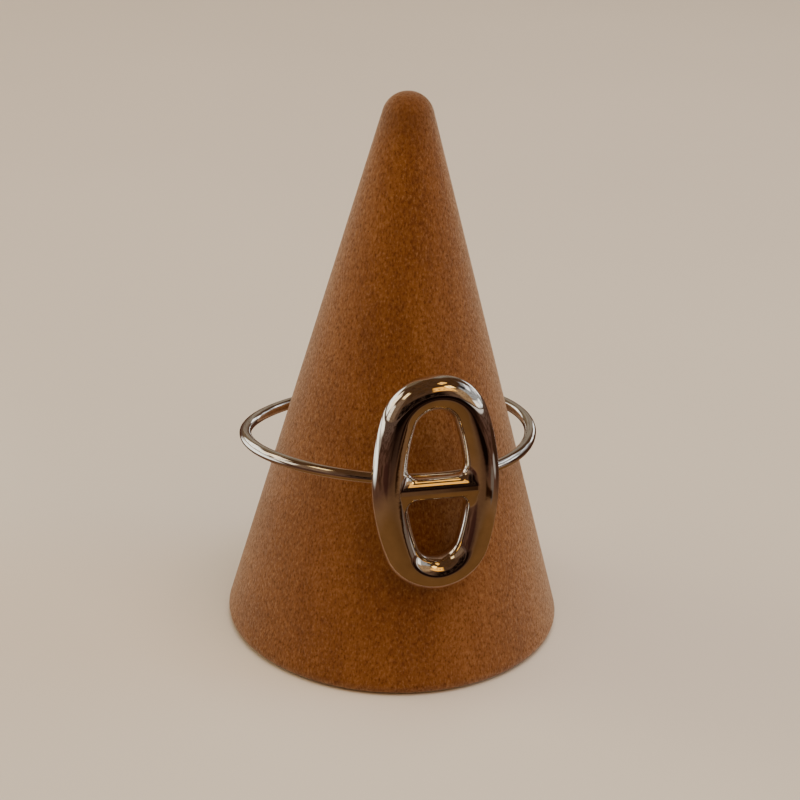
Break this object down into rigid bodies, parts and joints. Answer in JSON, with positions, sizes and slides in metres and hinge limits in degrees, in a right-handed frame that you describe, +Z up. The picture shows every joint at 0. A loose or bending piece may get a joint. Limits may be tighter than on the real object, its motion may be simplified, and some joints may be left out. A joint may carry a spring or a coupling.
{
  "type": "chain link ring on cone stand",
  "caption": "Thin wire finger ring with a puffed oval chain link and cross bar soldered across its front, hanging on a small turned wooden cone stand.",
  "frame": {"origin": "centre of the cone stand's foot, on the surface it stands on", "axes": "+Z up along the cone's axis, -Y the side that the ring's link faces"},
  "size_m": [0.0216, 0.0217, 0.0353],
  "materials": {
    "polished_silver": "polished silver",
    "turned_wood": "fine sanded, unvarnished"
  },
  "bodies": {
    "root": {"link_ring": "polished_silver", "cone_stand": "turned_wood"}
  },
  "joints": []
}
